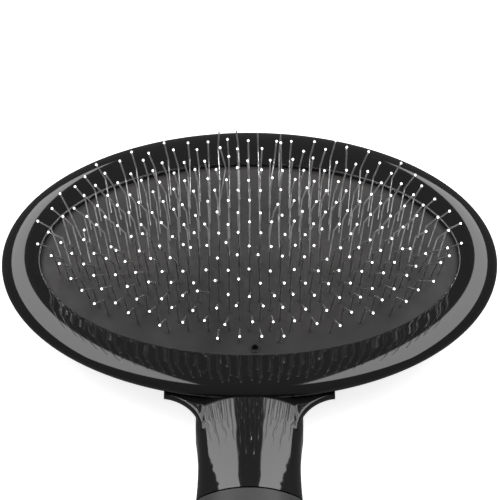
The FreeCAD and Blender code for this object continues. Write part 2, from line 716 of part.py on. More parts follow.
def combine(kind, name, base, tool):
    result = doc.addObject(kind, name)
    result.Base = base
    result.Tool = tool
    return result


def cushion_pad():
    """The rubber: a dome of even thickness, a flat flange and an air hole with a raised lip."""
    tall = "2 * pad_rise"
    column = oval_plate("dome_column", DOME_HALF_WIDTH, DOME_HALF_LENGTH, DOME_FOOT, tall)
    cap = combine("Part::Common", "dome_cap", column, dome("dome_outside", "0"))
    flange_floor = f"{DOME_FOOT} - pad_thickness"
    size = (f"{FLANGE_HALF_WIDTH} - fit_gap", f"{FLANGE_HALF_LENGTH} - fit_gap")
    flange = oval_plate("flange", *size, flange_floor, "pad_thickness")
    whole = combine("Part::Fuse", "pad_blank", flange, cap)
    hollow = combine("Part::Cut", "pad_hollow", whole, dome("dome_inside", "pad_thickness"))
    lip = doc.addObject("Part::Torus", "vent_bead")
    bind(lip, "Radius1", "vent_radius + vent_lip / 2")
    bind(lip, "Radius2", "vent_lip")
    hole = doc.addObject("Part::Cylinder", "vent_hole")
    bind(hole, "Radius", "vent_radius")
    bind(hole, "Height", "4 * pad_thickness")
    vent_y = f"-opening_shift - ({DOME_HALF_LENGTH} - vent_inset)"
    for piece, height in ((lip, vent_height()), (hole, f"{flange_floor} - pad_thickness")):
        bind(piece, "Placement.Base.x", "vent_offset")
        bind(piece, "Placement.Base.y", vent_y)
        bind(piece, "Placement.Base.z", height)
    beaded = combine("Part::Fuse", "pad_beaded", hollow, lip)
    return publish(combine("Part::Cut", "pad_vented", beaded, hole), "cushion_pad")


def vent_height():
    """The dome's surface where the air hole is, as an expression."""
    share = f"(1 - vent_inset / {DOME_HALF_LENGTH}) * {DOME_SPREAD:.6f}"
    return f"{DOME_FOOT} + pad_rise * (sqrt(1 - ({share}) ^ 2) - {DOME_CUT}) / {1 - DOME_CUT:.4f}"


def pad_backing():
    """The fabric laminate under the rubber, domed like it and clear of the seat ring."""
    size = (f"{DOME_HALF_WIDTH} - backing_margin", f"{DOME_HALF_LENGTH} - backing_margin")
    floor = f"{DOME_FOOT} - 3 * pad_thickness"
    column = oval_plate("backing_column", *size, floor, "2 * pad_rise + 3 * pad_thickness")
    under_rubber = dome("backing_outside", "pad_thickness")
    under_backing = dome("backing_inside", "pad_thickness + backing_thickness")
    cap = combine("Part::Common", "backing_cap", column, under_rubber)
    return publish(combine("Part::Cut", "backing_shell", cap, under_backing), "pad_backing")


# ---------------------------------------------------------------- pins


def dome_point(x, y):
    """A point of the rubber's surface over (x, y), and how the surface leans there."""
    high = value("pad_rise") / (1 - DOME_CUT)
    wide = value(DOME_HALF_WIDTH) / DOME_SPREAD
    long = value(DOME_HALF_LENGTH) / DOME_SPREAD
    lift = math.sqrt(1 - (x / wide) ** 2 - (y / long) ** 2)
    height = value(DOME_FOOT) + value("pad_rise") + high * (lift - 1)
    point = FreeCAD.Vector(x, y - value("opening_shift"), height)
    return point, FreeCAD.Vector(x / wide**2, y / long**2, lift / high)


def leg_direction(slope, fan, lean):
    """The surface's direction with its slope along the handle scaled, tipped towards the handle."""
    fanned = FreeCAD.Vector(slope.x, value(fan) * slope.y, slope.z).normalize()
    return FreeCAD.Rotation(FreeCAD.Vector(1, 0, 0), value(lean)).multVec(fanned)


def leg(x, y):
    """A pin's corners, from the staple's crown under the backing to the ball's centre."""
    foot, slope = dome_point(x, y)
    lower = leg_direction(slope, "lower_fan", "lower_lean")
    upper = leg_direction(slope, "upper_fan", "upper_lean")
    depth = value("pad_thickness + backing_thickness + wire_radius")
    root = foot - lower * (depth / lower.z)
    knee = foot + lower * value("lower_leg")
    return root, knee, knee + upper * value("upper_leg")


def rounded_path(corners, radii):
    """Straight runs between the corners, joined by tangent arcs."""
    runs = []
    start = corners[0]
    for before, corner, after, radius in zip(corners, corners[1:], corners[2:], radii):
        back = (before - corner).normalize()
        ahead = (after - corner).normalize()
        half_turn = back.getAngle(ahead) / 2
        reach = radius / math.tan(half_turn)
        middle = (back + ahead).normalize()
        into, out = corner + back * reach, corner + ahead * reach
        centre = corner + middle * (radius / math.sin(half_turn))
        runs.append(Part.LineSegment(start, into).toShape())
        runs.append(Part.Arc(into, centre - middle * radius, out).toShape())
        start = out
    runs.append(Part.LineSegment(start, corners[-1]).toShape())
    return Part.Wire(runs)


def bent_wire(corners, radii):
    path = rounded_path(corners, radii)
    along = (corners[1] - corners[0]).normalize()
    end = Part.Circle(corners[0], along, value("wire_radius"))
    return path.makePipe(Part.Face(Part.Wire(end.toShape())))


def row_places(row):
    """Where a row's pins stand across the cushion: every other row is set over by half a pitch."""
    middle = (int(value("row_count")) - 1) // 2
    from_centre = (row - middle) * value("row_pitch")
    y = from_centre - value("field_shift")
    half_length = value("field_half_length")
    half_width = value(f"{DOME_HALF_WIDTH} - field_margin")
    reach = half_width * math.sqrt(max(0.0, 1 - (from_centre / half_length) ** 2))
    pitch = value("pin_pitch")
    if (row - middle) % 2:
        count = max(1, math.floor(reach / pitch + 0.5))
        right = [(i + 0.5) * pitch for i in range(count)]
        return [-x for x in reversed(right)] + right, y
    count = math.floor(reach / pitch)
    return [i * pitch for i in range(-count, count + 1)], y


def staple_row(places, y):
    """Neighbouring pins share a staple, and an odd pin has a hooked foot of its own."""
    knee, crown = value("knee_radius"), value("crown_radius")
    wires = []
    for left, right in zip(places[0::2], places[1::2]):
        (root_a, knee_a, end_a), (root_b, knee_b, end_b) = leg(left, y), leg(right, y)
        corners = [end_a, knee_a, root_a, root_b, knee_b, end_b]
        wires.append(bent_wire(corners, [knee, crown, crown, knee]))
    if len(places) % 2:
        root, bend, end = leg(places[-1], y)
        hook = root - FreeCAD.Vector(value("pin_pitch") / 3, 0, 0)
        wires.append(bent_wire([end, bend, root, hook], [knee, crown]))
    return Part.makeCompound(wires)


def ball_row(places, y):
    """The balls on the ends of a row's pins."""
    centres = [leg(x, y)[2] for x in places]
    return Part.makeCompound([Part.makeSphere(value("ball_radius"), c) for c in centres])


def pin_rows():
    """One node of wires and one of balls for each row, counted from the handle."""
    for row in range(int(value("row_count"))):
        places, y = row_places(row)
        for name, shape in (("pin_row", staple_row(places, y)), ("ball_row", ball_row(places, y))):
            feature = doc.addObject("Part::Feature", f"{name}_{row + 1:02d}_shape")
            feature.Shape = shape
            feature.Placement = FreeCAD.Placement()
            publish(feature, f"{name}_{row + 1:02d}")


# ---------------------------------------------------------------- check and write


def check():
    """Stops on a failed object, and on a sub-part that isn't one or more closed solids."""
    for thing in doc.Objects:
        if {"Invalid", "Error"} & set(thing.State):
            raise RuntimeError(f"{thing.Name} failed: {thing.State}")
    for name, thing in nodes:
        shape = thing.Shape
        if shape.isNull() or not shape.isValid() or not shape.Solids:
            raise RuntimeError(f"{name} is not a sound solid")
        box = shape.BoundBox
        span = f"x {box.XMin:.1f}..{box.XMax:.1f} y {box.YMin:.1f}..{box.YMax:.1f}"
        span += f" z {box.ZMin:.1f}..{box.ZMax:.1f}"
        print(f"{name:16s} {len(shape.Solids):3d} solids {shape.Volume:9.1f} mm3  {span}")


def write():
    os.makedirs("parts", exist_ok=True)
    for name, thing in nodes:
        thing.Shape.exportStep(f"parts/{name}.step")
    print(len(nodes), "sub-parts written")


fill_sheet()
face_ring()
seat_ring()
back_shell()
handle_top()
grip_sleeve()
end_cap()
handle_screws()
cushion_pad()
pad_backing()
pin_rows()
doc.recompute()
check()
write()
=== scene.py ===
# %% [markdown]
# # A pin brush with a sprung cushion
#
# This lesson dresses the measured parts of a pet brush: a wide oval head in gloss black, a domed grey
# rubber cushion over an air chamber, and rows of bent steel pins that end in small bright balls.
# The measured parts come in first, because every later piece takes its place from them.

import json
import math
import random

import bmesh
import bpy
import numpy as np
from mathutils import Matrix, Vector

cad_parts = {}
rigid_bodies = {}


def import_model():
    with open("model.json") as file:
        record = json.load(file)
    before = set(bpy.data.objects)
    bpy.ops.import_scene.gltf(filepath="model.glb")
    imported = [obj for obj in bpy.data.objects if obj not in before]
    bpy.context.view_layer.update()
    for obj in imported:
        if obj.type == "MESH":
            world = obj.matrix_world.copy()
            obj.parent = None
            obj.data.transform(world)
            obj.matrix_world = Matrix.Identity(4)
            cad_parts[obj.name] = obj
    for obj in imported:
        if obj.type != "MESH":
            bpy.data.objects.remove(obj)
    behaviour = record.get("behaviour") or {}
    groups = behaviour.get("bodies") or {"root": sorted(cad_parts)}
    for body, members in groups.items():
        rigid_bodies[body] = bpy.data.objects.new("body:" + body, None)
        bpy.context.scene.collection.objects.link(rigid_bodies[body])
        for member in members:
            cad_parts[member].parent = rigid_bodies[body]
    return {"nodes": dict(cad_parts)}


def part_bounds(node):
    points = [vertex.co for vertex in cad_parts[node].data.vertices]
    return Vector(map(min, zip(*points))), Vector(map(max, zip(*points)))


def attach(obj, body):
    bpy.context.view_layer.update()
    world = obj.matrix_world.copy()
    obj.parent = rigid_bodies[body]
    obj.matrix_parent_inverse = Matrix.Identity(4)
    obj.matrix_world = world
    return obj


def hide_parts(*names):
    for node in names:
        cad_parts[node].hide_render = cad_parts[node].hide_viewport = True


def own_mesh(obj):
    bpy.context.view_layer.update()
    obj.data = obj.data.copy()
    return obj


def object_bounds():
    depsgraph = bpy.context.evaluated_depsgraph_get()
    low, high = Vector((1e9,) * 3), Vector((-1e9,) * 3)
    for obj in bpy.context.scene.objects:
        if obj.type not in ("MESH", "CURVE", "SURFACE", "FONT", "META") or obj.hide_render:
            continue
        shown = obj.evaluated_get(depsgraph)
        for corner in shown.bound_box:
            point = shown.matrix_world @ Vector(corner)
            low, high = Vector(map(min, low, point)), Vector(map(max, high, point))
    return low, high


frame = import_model()
bpy.context.view_layer.update()
part_box = [list(corner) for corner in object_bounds()]
MM = 0.001

# %% [markdown]
# The cushion's flange lies under the face ring's lip, so its box gives the middle of the opening, and
# how wide the opening is once the overlap is taken off. Everything on the head is drawn from ovals
# round that middle or round the middle of the head.

# %% Read the head's sizes from the parts
ring_low, ring_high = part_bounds("face_ring")
pad_low, pad_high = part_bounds("cushion_pad")
HEAD = (ring_high.x, ring_high.y)
SEAM_Z = ring_low.z
FLANGE = ((pad_high.x - pad_low.x) / 2, (pad_high.y - pad_low.y) / 2)
OVERLAP, FIT = 2.95 * MM, 0.05 * MM
OPENING = (FLANGE[0] - OVERLAP, FLANGE[1] - OVERLAP)
OPENING_Y = (pad_low.y + pad_high.y) / 2
RUBBER, LIP, DOME_GAP = 1.4 * MM, 1.0 * MM, 0.6 * MM
FOOT_Z = pad_low.z + RUBBER
LIP_UNDER_Z = FOOT_Z + FIT
TOP_Z = LIP_UNDER_Z + LIP
DOME = (OPENING[0] - DOME_GAP, OPENING[1] - DOME_GAP)
RISE = 3.6 * MM
print("head", [round(2000 * s, 1) for s in HEAD], "opening", [round(2000 * s, 1) for s in OPENING])

# %% [markdown]
# The camera looks down the handle at the head from half way up, from far off and with a long lens, so
# that the oval keeps its shape. Its distance and lens are chosen together: the lens comes from the
# width that the picture covers at that distance.

# %% Set the camera
ELEVATION = math.radians(50)
DISTANCE = 0.85
PICTURE_WIDTH = 100.6 * MM
SENSOR_MM = 36
AIM_RIGHT_MM, AIM_UP_MM = 0.1, 1.4
sight = Vector((0, -math.cos(ELEVATION), math.sin(ELEVATION)))
picture_up = Vector((0, math.sin(ELEVATION), math.cos(ELEVATION)))
aim = Vector((AIM_RIGHT_MM * MM, OPENING_Y, TOP_Z)) + picture_up * AIM_UP_MM * MM
camera = bpy.data.objects.new("camera", bpy.data.cameras.new("camera"))
camera.data.sensor_width = SENSOR_MM
camera.data.lens = SENSOR_MM * DISTANCE / PICTURE_WIDTH
camera.data.clip_start = 0.01
camera.location = aim + sight * DISTANCE
camera.rotation_euler = sight.to_track_quat("Z", "Y").to_euler()
bpy.context.scene.collection.objects.link(camera)
bpy.context.scene.camera = camera
print("lens", round(camera.data.lens), "mm")

# %% [markdown]
# Gloss black shows almost nothing but what it reflects, so the lamps are placed by mirroring. The clean
# grey bands on the rim and on the neck's sides come from two long panels, one to each side, that lean
# over the brush and run away behind it. Each panel is set by the way it faces and the way it runs, and
# everything else about it follows from how far off it hangs. Those two directions and the panel's
# shares of that distance were found by a search for the bands that the rim should show. Between the
# panels the room is dim, and there the plastic stays black.

# %% Hang the side panels
PANEL_AWAY = 0.9
PANEL_WIDE, PANEL_LONG = 0.64 * PANEL_AWAY, 2.85 * PANEL_AWAY
PANEL_MIDDLE, PANEL_OFFSET = 1.065 * PANEL_AWAY, 0.06 * PANEL_AWAY
PANEL_FACING, PANEL_RUN = (0.441, -0.125, 0.889), (0.077, 0.992, 0.101)
PANEL_GLOW = 3.9


def side_panel(name, side):
    """A long lamp on one side: -1 is left and 1 is right."""
    facing = Vector((side * PANEL_FACING[0], *PANEL_FACING[1:])).normalized()
    along = Vector((side * PANEL_RUN[0], *PANEL_RUN[1:])).normalized()
    across = along.cross(facing)
    lamp = bpy.data.lights.new(name, "AREA")
    lamp.shape = "RECTANGLE"
    lamp.size, lamp.size_y = PANEL_WIDE, PANEL_LONG
    lamp.energy = PANEL_GLOW * math.pi * PANEL_WIDE * PANEL_LONG
    panel = bpy.data.objects.new(name, lamp)
    turn = Matrix((across, along, facing)).transposed()
    place = Vector((0, OPENING_Y, TOP_Z)) + facing * PANEL_AWAY
    place += along * PANEL_MIDDLE + across * PANEL_OFFSET * side
    panel.matrix_world = Matrix.Translation(place) @ turn.to_4x4()
    bpy.context.scene.collection.objects.link(panel)


side_panel("panel_left", -1)
side_panel("panel_right", 1)

# %% [markdown]
# The room is one dim grey, and the floor is a plain pale sheet that glows a little, as a lit table
# does. The glow keeps it near white without a strong lamp overhead, which the plastic would show. The
# floor is left out of reflections, as if the brush lay on a black flag: otherwise every steep side of
# the gloss plastic would carry a pale edge.

# %% Make the room and the floor
ROOM_GREY, FLOOR_GREY, FLOOR_GLOW = 0.14, 0.7, 0.8
FLOOR_SIZE, FLOOR_DROP = 6, 0.05 * MM
world = bpy.data.worlds.new("room")
world.use_nodes = True
world.node_tree.nodes["Background"].inputs["Color"].default_value = (ROOM_GREY,) * 3 + (1,)
bpy.context.scene.world = world
bpy.context.scene.view_settings.view_transform = "Standard"

bpy.ops.mesh.primitive_plane_add(size=FLOOR_SIZE, location=(0, 0, part_box[0][2] - FLOOR_DROP))
floor = bpy.context.object
floor.name = "pale_floor"
pale = bpy.data.materials.new("pale_sheet")
pale.use_nodes = True
pale_shader = pale.node_tree.nodes["Principled BSDF"]
pale_shader.inputs["Base Color"].default_value = (FLOOR_GREY,) * 3 + (1,)
pale_shader.inputs["Roughness"].default_value = 0.9
pale_shader.inputs["Specular IOR Level"].default_value = 0.1
pale_shader.inputs["Emission Color"].default_value = (1, 1, 1, 1)
pale_shader.inputs["Emission Strength"].default_value = FLOOR_GLOW
floor.data.materials.append(pale)
floor.visible_glossy = False
print("floor at", round(floor.location.z / MM, 2), "mm")

# %% [markdown]
# Each finish is a small set of nodes. They share three helpers: one starts a material and its shader,
# one adds a noise that is measured in real millimetres, and one spreads a noise between two values.
# Noise in object space needs no unwrapping and has the same grain on every piece.


# %% Helpers for finishes
def start_finish(name, colour, roughness, metallic=0.0):
    finish = bpy.data.materials.new(name)
    finish.use_nodes = True
    shader = finish.node_tree.nodes["Principled BSDF"]
    shader.inputs["Base Color"].default_value = (*colour, 1)
    shader.inputs["Roughness"].default_value = roughness
    shader.inputs["Metallic"].default_value = metallic
    return finish, finish.node_tree, shader


def add_noise(tree, grain_mm, detail=3.0, stretch=(1, 1, 1)):
    """A noise whose grains are about grain_mm across, longer where stretch is below 1."""
    place = tree.nodes.new("ShaderNodeTexCoord")
    scale = tree.nodes.new("ShaderNodeMapping")
    noise = tree.nodes.new("ShaderNodeTexNoise")
    scale.inputs["Scale"].default_value = stretch
    noise.inputs["Scale"].default_value = 1 / (grain_mm * MM)
    noise.inputs["Detail"].default_value = detail
    tree.links.new(place.outputs["Object"], scale.inputs["Vector"])
    tree.links.new(scale.outputs["Vector"], noise.inputs["Vector"])
    return noise.outputs["Fac"]


def spread(tree, value, low, high, start=0.3, end=0.7):
    """The value from start to end, spread evenly from low to high."""
    node = tree.nodes.new("ShaderNodeMapRange")
    for name, number in (("From Min", start), ("From Max", end), ("To Min", low), ("To Max", high)):
        node.inputs[name].default_value = number
    tree.links.new(value, node.inputs["Value"])
    return node.outputs["Result"]


def tint(tree, value, dark, light):
    """A colour that goes from dark to light with the value."""
    ramp = tree.nodes.new("ShaderNodeValToRGB")
    ramp.color_ramp.elements[0].color = (*dark, 1)
    ramp.color_ramp.elements[1].color = (*light, 1)
    tree.links.new(value, ramp.inputs["Fac"])
    return ramp.outputs["Color"]


def add_bump(tree, shader, height, depth_mm, strength=1.0):
    """A bump of that depth, on top of one already there."""
    bump = tree.nodes.new("ShaderNodeBump")
    bump.inputs["Distance"].default_value = depth_mm * MM
    bump.inputs["Strength"].default_value = strength
    tree.links.new(height, bump.inputs["Height"])
    before = [link.from_socket for link in tree.links if link.to_socket == shader.inputs["Normal"]]
    if before:
        tree.links.new(before[0], bump.inputs["Normal"])
    tree.links.new(bump.outputs["Normal"], shader.inputs["Normal"])


print("finish helpers are ready")

# %% [markdown]
# The shells are polished ABS. The mould leaves a faint waviness, which breaks a reflection's edge
# slightly, and handling leaves fine scuffs, which only change the roughness. Both are kept very weak,
# because a strong bump would turn the clean bands of light into noise.


# %% Finish: gloss black plastic
def gloss_black():
    finish, tree, shader = start_finish("gloss_black", (0.0064, 0.0064, 0.0065), 0.07)
    scuffs = add_noise(tree, 0.6, 5.0)
    patches = add_noise(tree, 16, 2.0)
    both = tree.nodes.new("ShaderNodeMath")
    both.operation = "MULTIPLY"
    tree.links.new(scuffs, both.inputs[0])
    tree.links.new(patches, both.inputs[1])
    rough = spread(tree, both.outputs["Value"], 0.05, 0.085, 0.12, 0.42)
    tree.links.new(rough, shader.inputs["Roughness"])
    cloud = add_noise(tree, 30, 2.0)
    tree.links.new(tint(tree, cloud, (0.0058, 0.0058, 0.006), (0.007, 0.0069, 0.0069)),
                   shader.inputs["Base Color"])
    shader.inputs["Specular IOR Level"].default_value = 0.5
    shader.inputs["Coat Weight"].default_value = 0.15
    shader.inputs["Coat Roughness"].default_value = 0.04
    add_bump(tree, shader, add_noise(tree, 9, 1.0), 0.002, 0.4)
    return finish


GLOSS = gloss_black()
print(GLOSS.name, len(GLOSS.node_tree.nodes), "nodes")

# %% [markdown]
# The other hard pieces are plainer: a dull black plastic for the ring inside the head, a stippled soft
# plastic for the grip, and zinc for the screws, whose turned rings are a noise squeezed along the axis.


# %% Finishes: dull plastic, soft grip and zinc
def dull_black():
    finish, tree, shader = start_finish("dull_black", (0.02, 0.02, 0.021), 0.5)
    tree.links.new(spread(tree, add_noise(tree, 4), 0.42, 0.6), shader.inputs["Roughness"])
    tree.links.new(tint(tree, add_noise(tree, 12), (0.016, 0.016, 0.017), (0.026, 0.026, 0.027)),
                   shader.inputs["Base Color"])
    add_bump(tree, shader, add_noise(tree, 0.5, 4.0), 0.02, 0.4)
    return finish


def soft_grip():
    finish, tree, shader = start_finish("soft_grip", (0.018, 0.018, 0.019), 0.5)
    tree.links.new(spread(tree, add_noise(tree, 9), 0.4, 0.56), shader.inputs["Roughness"])
    tree.links.new(tint(tree, add_noise(tree, 14), (0.014, 0.014, 0.015), (0.023, 0.022, 0.022)),
                   shader.inputs["Base Color"])
    shader.inputs["Sheen Weight"].default_value = 0.25
    shader.inputs["Sheen Roughness"].default_value = 0.4
    add_bump(tree, shader, add_noise(tree, 0.32, 2.0), 0.03, 0.5)
    return finish


def zinc():
    finish, tree, shader = start_finish("zinc", (0.55, 0.56, 0.58), 0.35, 1.0)
    turned = add_noise(tree, 0.25, 2.0, (0.15, 0.15, 1.0))
    tree.links.new(spread(tree, turned, 0.25, 0.5), shader.inputs["Roughness"])
    add_bump(tree, shader, turned, 0.01, 0.4)
    return finish


DULL, GRIP, ZINC = dull_black(), soft_grip(), zinc()
print([finish.name for finish in (DULL, GRIP, ZINC)])

# %% [markdown]
# The cushion's rubber is a warm dark grey with cloudy lighter patches, and it is matt, with a faint
# bloom that brightens it at low angles. Broad clouds give the patches, a fine grain gives the surface
# its dry look, and a little sheen stands for the bloom.


# %% Finish: grey rubber
def grey_rubber():
    finish, tree, shader = start_finish("grey_rubber", (0.038, 0.0355, 0.0355), 0.62)
    clouds = add_noise(tree, 15, 3.0, (0.6, 1.0, 1.0))
    shade = tint(tree, spread(tree, clouds, 0, 1, 0.35, 0.68),
                 (0.015, 0.0142, 0.0142), (0.029, 0.0268, 0.0264))
    tree.links.new(shade, shader.inputs["Base Color"])
    tree.links.new(spread(tree, add_noise(tree, 5), 0.55, 0.72), shader.inputs["Roughness"])
    shader.inputs["Sheen Weight"].default_value = 0.02
    shader.inputs["Specular IOR Level"].default_value = 0.35
    shader.inputs["Sheen Roughness"].default_value = 0.5
    add_bump(tree, shader, add_noise(tree, 0.22, 3.0), 0.02, 0.35)
    add_bump(tree, shader, add_noise(tree, 3.5, 2.0), 0.06, 0.3)
    return finish


RUBBER_GREY = grey_rubber()
print(RUBBER_GREY.name, len(RUBBER_GREY.node_tree.nodes), "nodes")

# %% [markdown]
# Drawn wire has fine lines along it and isn't a mirror: it spreads the light of the low lamp into a
# pale stroke. The balls are brighter and smoother, so each one shows as a white dot. The laminate that
# holds the staples is a plain weave, made of two crossed waves.


# %% Finishes: steel wire, ball and woven laminate
def steel_wire():
    finish, tree, shader = start_finish("steel_wire", (0.62, 0.62, 0.63), 0.34, 1.0)
    lines = add_noise(tree, 0.12, 2.0, (1.0, 1.0, 0.05))
    tree.links.new(spread(tree, lines, 0.26, 0.44), shader.inputs["Roughness"])
    shade = tint(tree, add_noise(tree, 2.5), (0.5, 0.5, 0.5), (0.72, 0.72, 0.73))
    tree.links.new(shade, shader.inputs["Base Color"])
    return finish


def bright_ball():
    finish, tree, shader = start_finish("bright_ball", (0.93, 0.93, 0.93), 0.24, 0.6)
    tree.links.new(spread(tree, add_noise(tree, 0.2), 0.18, 0.34), shader.inputs["Roughness"])
    shader.inputs["Coat Weight"].default_value = 0.6
    shader.inputs["Coat Roughness"].default_value = 0.08
    return finish


def woven_laminate():
    finish, tree, shader = start_finish("woven_laminate", (0.11, 0.1, 0.095), 0.8)
    place = tree.nodes.new("ShaderNodeTexCoord")
    over = tree.nodes.new("ShaderNodeMath")
    over.operation = "MULTIPLY"
    for socket, direction in zip(over.inputs, ("X", "Y")):
        thread = tree.nodes.new("ShaderNodeTexWave")
        thread.bands_direction = direction
        thread.inputs["Scale"].default_value = 320
        thread.inputs["Distortion"].default_value = 0.4
        tree.links.new(place.outputs["Object"], thread.inputs["Vector"])
        tree.links.new(thread.outputs["Fac"], socket)
    weave = over.outputs["Value"]
    tree.links.new(tint(tree, weave, (0.075, 0.07, 0.066), (0.15, 0.14, 0.13)),
                   shader.inputs["Base Color"])
    add_bump(tree, shader, weave, 0.08, 0.8)
    return finish


WIRE, BALL, WEAVE = steel_wire(), bright_ball(), woven_laminate()
print([finish.name for finish in (WIRE, BALL, WEAVE)])

# %% [markdown]
# Most of the head's pieces are stacks of ovals: rings of points that are joined to their neighbours by
# quads. One helper turns such a stack into a mesh. Shading is smooth, and a crease stays sharp only
# where two faces meet at more than a set angle.


# %% Helpers for meshes
def oval(half_x, half_y, middle_y, height, count):
    """Points round an oval, as an array of count by 3."""
    turn = np.arange(count) * (2 * math.pi / count)
    x, y = half_x * np.cos(turn), middle_y + half_y * np.sin(turn)
    return np.stack([x, y, np.full(count, height)], axis=1)


def stack_faces(levels, count, looped):
    """Quads between each ring and the next, and from the last to the first where looped."""
    faces = []
    for level in range(levels if looped else levels - 1):
        above, here = ((level + 1) % levels) * count, level * count
        for i in range(count):
            j = (i + 1) % count
            faces.append((here + i, here + j, above + j, above + i))
    return faces


def new_piece(name, points, faces, finish, crease=35):
    mesh = bpy.data.meshes.new(name)
    mesh.from_pydata([tuple(p) for p in points], [], faces)
    mesh.materials.append(finish)
    mesh.shade_smooth()
    mesh.set_sharp_from_angle(angle=math.radians(crease))
    piece = bpy.data.objects.new(name, mesh)
    bpy.context.scene.collection.objects.link(piece)
    return piece


def face_outwards(piece):
    """Turns all faces the same way, outwards."""
    work = bmesh.new()
    work.from_mesh(piece.data)
    bmesh.ops.recalc_face_normals(work, faces=work.faces)
    work.to_mesh(piece.data)
    work.free()
    return piece


print("mesh helpers are ready")

# %% [markdown]
# The face ring carries the brush's most visible reflections, so it is drawn again here, finer than the
# measured part and to the same sizes. From outside in, its section is the bead round the widest
# line, the long flat shoulder, the level top, the small rounding at the opening, the lip's wall, and
# then the hidden recess that holds the flange. The shoulder is a quarter of an ellipse, wider than it
# is high, which is what makes the bands of light broad on top and thin at the edge.

# %% The face ring's section
SHOULDER = (5.5 * MM, 2.6 * MM)
BEAD = 2.2 * MM
WIDEST_Z = TOP_Z - SHOULDER[1]
LIP_EDGE, RECESS_GAP = 0.5 * MM, 0.1 * MM
RING_COUNT = 512


def outer_section():
    """Pairs of inset from the widest oval and height, from the seam to the level top."""
    bead = [(BEAD * (1 - math.cos(a)), WIDEST_Z - BEAD * math.sin(a))
            for a in np.radians(np.linspace(45, 0, 9))[:-1]]
    shoulder = [(SHOULDER[0] * (1 - math.cos(a)), WIDEST_Z + SHOULDER[1] * math.sin(a))
                for a in np.radians(np.linspace(0, 90, 33))]
    return bead + shoulder


def inner_section():
    """Pairs of distance outside the opening's oval and height, from the top to the seam."""
    lip = [(LIP_EDGE * (1 - math.sin(a)), TOP_Z - LIP_EDGE * (1 - math.cos(a)))
           for a in np.radians(np.linspace(0, 90, 9))]
    recess = OVERLAP + RECESS_GAP
    return lip + [(0, LIP_UNDER_Z), (recess, LIP_UNDER_Z), (recess, SEAM_Z)]


print(len(outer_section()), "outer levels,", len(inner_section()), "inner levels")

# %% Build the face ring
rings = [oval(HEAD[0] - inset, HEAD[1] - inset, 0, height, RING_COUNT)
         for inset, height in outer_section()]
for share in (0.33, 0.67):
    inset = SHOULDER[0]
    half_x = HEAD[0] - inset + share * (OPENING[0] + LIP_EDGE - HEAD[0] + inset)
    half_y = HEAD[1] - inset + share * (OPENING[1] + LIP_EDGE - HEAD[1] + inset)
    rings.append(oval(half_x, half_y, share * OPENING_Y, TOP_Z, RING_COUNT))
rings += [oval(OPENING[0] + out, OPENING[1] + out, OPENING_Y, height, RING_COUNT)
          for out, height in inner_section()]
face_ring = new_piece("gloss_face_ring", np.concatenate(rings),
                      stack_faces(len(rings), RING_COUNT, True), GLOSS, 30)
face_outwards(face_ring)
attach(face_ring, "brush_body")
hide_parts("face_ring")
print("face ring:", len(face_ring.data.polygons), "faces")

# %% [markdown]
# The other hard pieces keep the measured shapes. The measured meshes are made of separate patches, so a
# reflection would break at each patch's border. A copy with its borders welded and its shading
# smoothed shows one clean surface, and the original stays hidden underneath.


# %% Weld and finish the shells, the grip and the end cap
WELD_GAP = 0.002 * MM


def welded_copy(node, name, finish, crease=32):
    source = frame["nodes"][node].data
    work = bmesh.new()
    work.from_mesh(source)
    bmesh.ops.remove_doubles(work, verts=work.verts, dist=WELD_GAP)
    points = [v.co.copy() for v in work.verts]
    faces = [[v.index for v in f.verts] for f in work.faces]
    work.free()
    piece = new_piece(name, points, faces, finish, crease)
    weights = piece.modifiers.new("even_shading", "WEIGHTED_NORMAL")
    weights.keep_sharp = True
    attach(piece, "brush_body")
    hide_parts(node)
    print(name, len(piece.data.polygons), "faces")


welded_copy("back_shell", "gloss_back_shell", GLOSS)
welded_copy("handle_top", "gloss_handle_top", GLOSS)
welded_copy("end_cap", "gloss_end_cap", GLOSS)
welded_copy("grip_sleeve", "stippled_grip", GRIP)
welded_copy("seat_ring", "dull_seat_ring", DULL)
welded_copy("handle_screws", "zinc_screws", ZINC)

# %% [markdown]
# The pins stand in rows across the cushion, and every other row is set over by half a pitch. The lower
# legs fan out from the dome like spokes, and each pin bends towards the handle at a knee, so its ball
# end reaches forwards. Real pins are never quite in line, so each one gets a small lean of its own,
# and one in twenty is visibly bent. The random numbers are seeded, so every run gives the same brush.

# %% Where the pins stand
ROWS, PIN_PITCH = 19, 4.0 * MM
SIDE_MARGIN, END_MARGIN, ROW_END_GAP = 2.4 * MM, 4.0 * MM, 0.6 * MM
FIELD = (DOME[0] - SIDE_MARGIN, DOME[1] - END_MARGIN)
FIELD_SHIFT = 1.6 * MM
ROW_PITCH = 2 * (FIELD[1] - ROW_END_GAP) / (ROWS - 1)
DOME_CUT = 0.8
DOME_SPREAD = math.sqrt(1 - DOME_CUT**2)


def dome_height(x, y):
    """The rubber's height at x and y, both measured from the middle of the opening."""
    share = (x / DOME[0]) ** 2 + (y / DOME[1]) ** 2
    lift = np.sqrt(np.maximum(1 - DOME_SPREAD**2 * share, 0))
    return FOOT_Z + RISE * (lift - DOME_CUT) / (1 - DOME_CUT)


def row_places(row):
    """The places of one row's pins: x and y from the middle of the opening."""
    step = row - (ROWS - 1) // 2
    reach = FIELD[0] * math.sqrt(max(0.0, 1 - (step * ROW_PITCH / FIELD[1]) ** 2))
    y = step * ROW_PITCH - FIELD_SHIFT
    if step % 2:
        count = max(1, math.floor(reach / PIN_PITCH + 0.5))
        right = [(i + 0.5) * PIN_PITCH for i in range(count)]
        return [(-x, y) for x in reversed(right)] + [(x, y) for x in right]
    count = math.floor(reach / PIN_PITCH)
    return [(i * PIN_PITCH, y) for i in range(-count, count + 1)]


print("pins:", sum(len(row_places(row)) for row in range(ROWS)))

